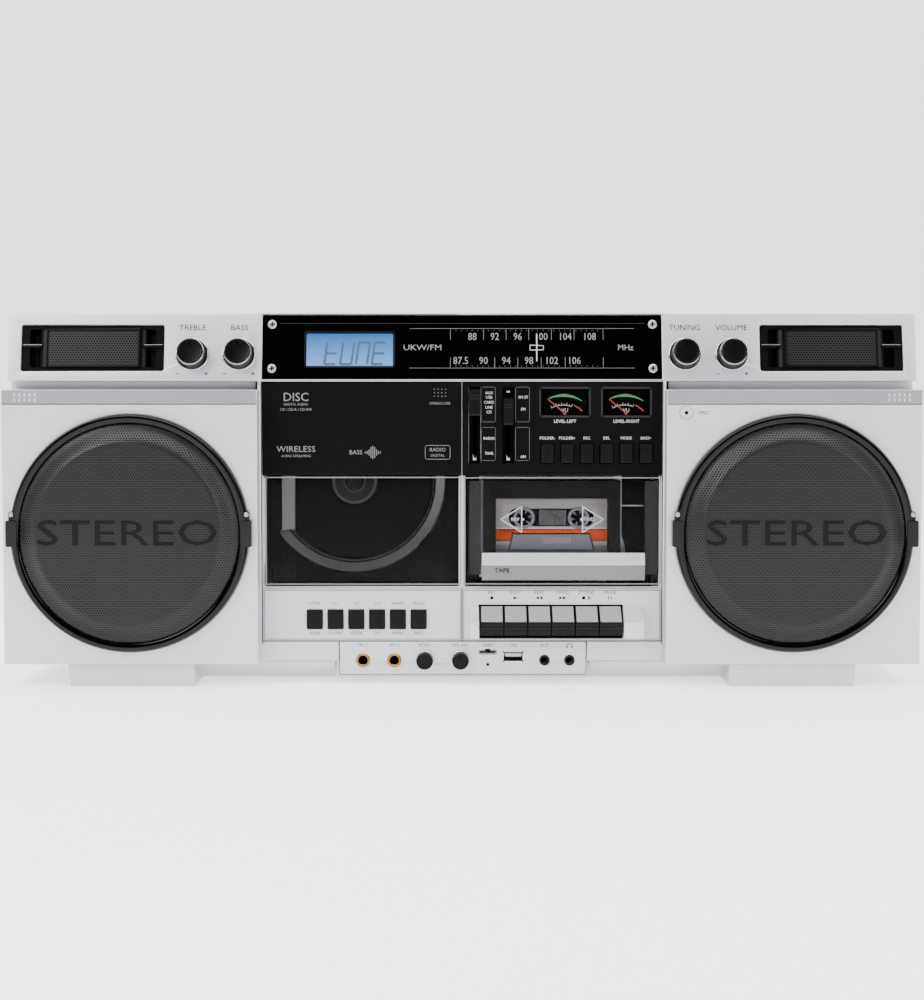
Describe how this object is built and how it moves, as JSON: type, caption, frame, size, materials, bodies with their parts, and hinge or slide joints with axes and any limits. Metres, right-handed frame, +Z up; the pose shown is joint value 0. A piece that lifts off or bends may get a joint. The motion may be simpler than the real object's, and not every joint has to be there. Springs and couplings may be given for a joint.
{
  "type": "radio cassette player",
  "caption": "Portable stereo radio, disc and cassette player with round speaker grilles, a sloping dial, opening disc and tape doors, piston keys, folding handle and telescopic antenna.",
  "frame": {"origin": "centre of the bounding box in X and Y, at the underside of the feet", "axes": "+Z up, front with the grilles and dial faces -Y, +X to the right seen from the front"},
  "size_m": [0.701, 0.196, 0.287],
  "materials": {
    "silver_plastic": "fine satin, sprayed silver",
    "black_plastic": "satin moulded black",
    "gloss_panel": "gloss black, screen printed",
    "display": "lit liquid crystal",
    "mesh_steel": "perforated and painted dark grey",
    "clear_plastic": "clear polystyrene",
    "cone_paper": "coated paper cone and steel frame",
    "bare_steel": "zinc plated",
    "board": "green solder resist",
    "plated": "bright plated",
    "grey_plastic": "satin grey",
    "red_plastic": "painted needle",
    "white_plastic": "white",
    "cassette_plastic": "moulded cassette half"
  },
  "bodies": {
    "cabinet": {"front_panel": "silver_plastic", "rear_cabinet": "silver_plastic", "dial_panel": "gloss_panel", "lcd_display": "display", "control_panel": "black_plastic", "cd_button_panel": "silver_plastic", "tape_key_panel": "silver_plastic", "jack_panel": "silver_plastic", "grille_left": "mesh_steel", "grille_right": "mesh_steel", "woofer_left": "cone_paper", "woofer_right": "cone_paper", "tweeter_left": "black_plastic", "tweeter_right": "black_plastic", "cd_well": "grey_plastic", "tape_deck_chassis": "bare_steel", "main_circuit_board": "board"},
    "battery_door": {"battery_door": "silver_plastic"},
    "cd_door": {"cd_door": "black_plastic", "cd_door_window": "clear_plastic"},
    "tape_door": {"tape_door_window": "clear_plastic", "cassette_holder": "black_plastic", "cassette_shell": "cassette_plastic"},
    "supply_spindle": {"supply_spindle": "black_plastic"},
    "takeup_spindle": {"takeup_spindle": "black_plastic"},
    "capstan_flywheel": {"capstan_flywheel": "bare_steel"},
    "cd_turntable": {"cd_turntable": "black_plastic"},
    "dial_pointer": {"dial_pointer": "white_plastic"},
    "knob_treble": {"knob_treble": "black_plastic"},
    "knob_bass": {"knob_bass": "black_plastic"},
    "knob_tuning": {"knob_tuning": "black_plastic"},
    "knob_volume": {"knob_volume": "black_plastic"},
    "knob_echo": {"knob_echo": "black_plastic"},
    "knob_mic_volume": {"knob_mic_volume": "black_plastic"},
    "function_switch": {"function_switch": "black_plastic"},
    "band_switch": {"band_switch": "black_plastic"},
    "needle_left": {"needle_left": "red_plastic"},
    "needle_right": {"needle_right": "red_plastic"},
    "key_record": {"key_record": "grey_plastic"},
    "key_play": {"key_play": "grey_plastic"},
    "key_rewind": {"key_rewind": "grey_plastic"},
    "key_forward": {"key_forward": "grey_plastic"},
    "key_stop_eject": {"key_stop_eject": "grey_plastic"},
    "key_pause": {"key_pause": "grey_plastic"},
    "cd_button_stop": {"cd_button_stop": "black_plastic"},
    "cd_button_previous": {"cd_button_previous": "black_plastic"},
    "cd_button_play_pause": {"cd_button_play_pause": "black_plastic"},
    "cd_button_next": {"cd_button_next": "black_plastic"},
    "cd_button_random": {"cd_button_random": "black_plastic"},
    "cd_button_program": {"cd_button_program": "black_plastic"},
    "function_button_folder_down": {"function_button_folder_down": "black_plastic"},
    "function_button_folder_up": {"function_button_folder_up": "black_plastic"},
    "function_button_record": {"function_button_record": "black_plastic"},
    "function_button_delete": {"function_button_delete": "black_plastic"},
    "function_button_mode": {"function_button_mode": "black_plastic"},
    "function_button_bass_boost": {"function_button_bass_boost": "black_plastic"},
    "handle": {"handle": "silver_plastic"},
    "antenna_base": {"antenna_base": "plated"},
    "antenna_mast": {"antenna_mast": "plated"},
    "antenna_tip": {"antenna_tip": "plated"}
  },
  "joints": [
    {"name": "cd_door_hinge", "type": "hinge", "parent": "cabinet", "child": "cd_door", "pos_m": [-0.0775, -0.0595, 0.0794], "axis": [1, 0, 0], "range_deg": [0, 32]},
    {"name": "tape_door_hinge", "type": "hinge", "parent": "cabinet", "child": "tape_door", "pos_m": [0.0775, -0.0595, 0.0794], "axis": [1, 0, 0], "range_deg": [0, 25]},
    {"name": "battery_door_slide", "type": "slide", "parent": "cabinet", "child": "battery_door", "axis": [0, 1, 0], "range_m": [0, 0.04]},
    {"name": "supply_spindle_spin", "type": "hinge", "parent": "cabinet", "child": "supply_spindle", "pos_m": [0.04845, -0.034, 0.1282], "axis": [0, 1, 0], "continuous": true},
    {"name": "takeup_spindle_spin", "type": "hinge", "parent": "cabinet", "child": "takeup_spindle", "pos_m": [0.09095, -0.034, 0.1282], "axis": [0, 1, 0], "continuous": true},
    {"name": "capstan_spin", "type": "hinge", "parent": "cabinet", "child": "capstan_flywheel", "pos_m": [0.1037, -0.024, 0.0999], "axis": [0, 1, 0], "continuous": true},
    {"name": "turntable_spin", "type": "hinge", "parent": "cabinet", "child": "cd_turntable", "pos_m": [-0.0842, -0.039, 0.1565], "axis": [0, 1, 0], "continuous": true},
    {"name": "knob_treble_turn", "type": "hinge", "parent": "cabinet", "child": "knob_treble", "pos_m": [-0.2083, -0.05987, 0.25502], "axis": [0, 0.9801, -0.1983], "range_deg": [-150, 150]},
    {"name": "knob_bass_turn", "type": "hinge", "parent": "cabinet", "child": "knob_bass", "pos_m": [-0.1721, -0.05987, 0.25502], "axis": [0, 0.9801, -0.1983], "range_deg": [-150, 150]},
    {"name": "knob_tuning_turn", "type": "hinge", "parent": "cabinet", "child": "knob_tuning", "pos_m": [0.1721, -0.05987, 0.25502], "axis": [0, 0.9801, -0.1983], "range_deg": [-816, 622]},
    {"name": "knob_volume_turn", "type": "hinge", "parent": "cabinet", "child": "knob_volume", "pos_m": [0.2083, -0.05987, 0.25502], "axis": [0, 0.9801, -0.1983], "range_deg": [-150, 150]},
    {"name": "dial_pointer_slide", "type": "slide", "parent": "cabinet", "child": "dial_pointer", "axis": [1, 0, 0], "range_m": [-0.0667, 0.0509]},
    {"name": "knob_echo_turn", "type": "hinge", "parent": "cabinet", "child": "knob_echo", "pos_m": [-0.0289, -0.064, 0.0183], "axis": [0, 1, 0], "range_deg": [-150, 150]},
    {"name": "knob_mic_volume_turn", "type": "hinge", "parent": "cabinet", "child": "knob_mic_volume", "pos_m": [-0.0012, -0.064, 0.0183], "axis": [0, 1, 0], "range_deg": [-150, 150]},
    {"name": "function_switch_slide", "type": "slide", "parent": "cabinet", "child": "function_switch", "axis": [0, 0, 1], "range_m": [-0.036, 0.0015]},
    {"name": "band_switch_slide", "type": "slide", "parent": "cabinet", "child": "band_switch", "axis": [0, 0, 1], "range_m": [-0.0292, 0.0085]},
    {"name": "needle_left_swing", "type": "hinge", "parent": "cabinet", "child": "needle_left", "pos_m": [0.0794, -0.0622, 0.2097], "axis": [0, 1, 0], "range_deg": [0, 100], "stiffness_Nm_per_rad": 0.00002},
    {"name": "needle_right_swing", "type": "hinge", "parent": "cabinet", "child": "needle_right", "pos_m": [0.12675, -0.0622, 0.2097], "axis": [0, 1, 0], "range_deg": [0, 100], "stiffness_Nm_per_rad": 0.00002},
    {"name": "key_record_press", "type": "hinge", "parent": "cabinet", "child": "key_record", "pos_m": [0.02305, -0.044, 0.052], "axis": [1, 0, 0], "range_deg": [0, 6], "stiffness_Nm_per_rad": 0.6, "springref_deg": -2.86},
    {"name": "key_play_press", "type": "hinge", "parent": "cabinet", "child": "key_play", "pos_m": [0.04135, -0.044, 0.052], "axis": [1, 0, 0], "range_deg": [0, 6], "stiffness_Nm_per_rad": 0.6, "springref_deg": -2.86},
    {"name": "key_rewind_press", "type": "hinge", "parent": "cabinet", "child": "key_rewind", "pos_m": [0.05965, -0.044, 0.052], "axis": [1, 0, 0], "range_deg": [0, 6], "stiffness_Nm_per_rad": 0.6, "springref_deg": -2.86},
    {"name": "key_forward_press", "type": "hinge", "parent": "cabinet", "child": "key_forward", "pos_m": [0.07795, -0.044, 0.052], "axis": [1, 0, 0], "range_deg": [0, 6], "stiffness_Nm_per_rad": 0.6, "springref_deg": -2.86},
    {"name": "key_stop_eject_press", "type": "hinge", "parent": "cabinet", "child": "key_stop_eject", "pos_m": [0.09625, -0.044, 0.052], "axis": [1, 0, 0], "range_deg": [0, 6], "stiffness_Nm_per_rad": 0.6, "springref_deg": -2.86},
    {"name": "key_pause_press", "type": "hinge", "parent": "cabinet", "child": "key_pause", "pos_m": [0.11455, -0.044, 0.052], "axis": [1, 0, 0], "range_deg": [0, 6], "stiffness_Nm_per_rad": 0.6, "springref_deg": -2.86},
    {"name": "cd_button_stop_press", "type": "slide", "parent": "cabinet", "child": "cd_button_stop", "axis": [0, 1, 0], "range_m": [0, 0.0012], "stiffness_N_per_m": 400, "springref_m": -0.0005},
    {"name": "cd_button_previous_press", "type": "slide", "parent": "cabinet", "child": "cd_button_previous", "axis": [0, 1, 0], "range_m": [0, 0.0012], "stiffness_N_per_m": 400, "springref_m": -0.0005},
    {"name": "cd_button_play_pause_press", "type": "slide", "parent": "cabinet", "child": "cd_button_play_pause", "axis": [0, 1, 0], "range_m": [0, 0.0012], "stiffness_N_per_m": 400, "springref_m": -0.0005},
    {"name": "cd_button_next_press", "type": "slide", "parent": "cabinet", "child": "cd_button_next", "axis": [0, 1, 0], "range_m": [0, 0.0012], "stiffness_N_per_m": 400, "springref_m": -0.0005},
    {"name": "cd_button_random_press", "type": "slide", "parent": "cabinet", "child": "cd_button_random", "axis": [0, 1, 0], "range_m": [0, 0.0012], "stiffness_N_per_m": 400, "springref_m": -0.0005},
    {"name": "cd_button_program_press", "type": "slide", "parent": "cabinet", "child": "cd_button_program", "axis": [0, 1, 0], "range_m": [0, 0.0012], "stiffness_N_per_m": 400, "springref_m": -0.0005},
    {"name": "function_button_folder_down_press", "type": "slide", "parent": "cabinet", "child": "function_button_folder_down", "axis": [0, 1, 0], "range_m": [0, 0.0012], "stiffness_N_per_m": 400, "springref_m": -0.0005},
    {"name": "function_button_folder_up_press", "type": "slide", "parent": "cabinet", "child": "function_button_folder_up", "axis": [0, 1, 0], "range_m": [0, 0.0012], "stiffness_N_per_m": 400, "springref_m": -0.0005},
    {"name": "function_button_record_press", "type": "slide", "parent": "cabinet", "child": "function_button_record", "axis": [0, 1, 0], "range_m": [0, 0.0012], "stiffness_N_per_m": 400, "springref_m": -0.0005},
    {"name": "function_button_delete_press", "type": "slide", "parent": "cabinet", "child": "function_button_delete", "axis": [0, 1, 0], "range_m": [0, 0.0012], "stiffness_N_per_m": 400, "springref_m": -0.0005},
    {"name": "function_button_mode_press", "type": "slide", "parent": "cabinet", "child": "function_button_mode", "axis": [0, 1, 0], "range_m": [0, 0.0012], "stiffness_N_per_m": 400, "springref_m": -0.0005},
    {"name": "function_button_bass_boost_press", "type": "slide", "parent": "cabinet", "child": "function_button_bass_boost", "axis": [0, 1, 0], "range_m": [0, 0.0012], "stiffness_N_per_m": 400, "springref_m": -0.0005},
    {"name": "handle_swing", "type": "hinge", "parent": "cabinet", "child": "handle", "pos_m": [0, 0.092, 0.241], "axis": [1, 0, 0], "range_deg": [0, 180]},
    {"name": "antenna_swivel", "type": "hinge", "parent": "cabinet", "child": "antenna_base", "pos_m": [0.3165, 0.075, 0.27], "axis": [0, 0, 1], "range_deg": [-180, 0]},
    {"name": "antenna_tilt", "type": "hinge", "parent": "antenna_base", "child": "antenna_mast", "pos_m": [0.3165, 0.075, 0.2785], "axis": [0, 1, 0], "range_deg": [0, 90]},
    {"name": "antenna_extend", "type": "slide", "parent": "antenna_mast", "child": "antenna_tip", "axis": [-1, 0, 0], "range_m": [0, 0.24]}
  ],
  "couplings": [
    {"joint": "dial_pointer_slide", "follows": "knob_tuning_turn", "m_per_rad": 0.00468}
  ]
}
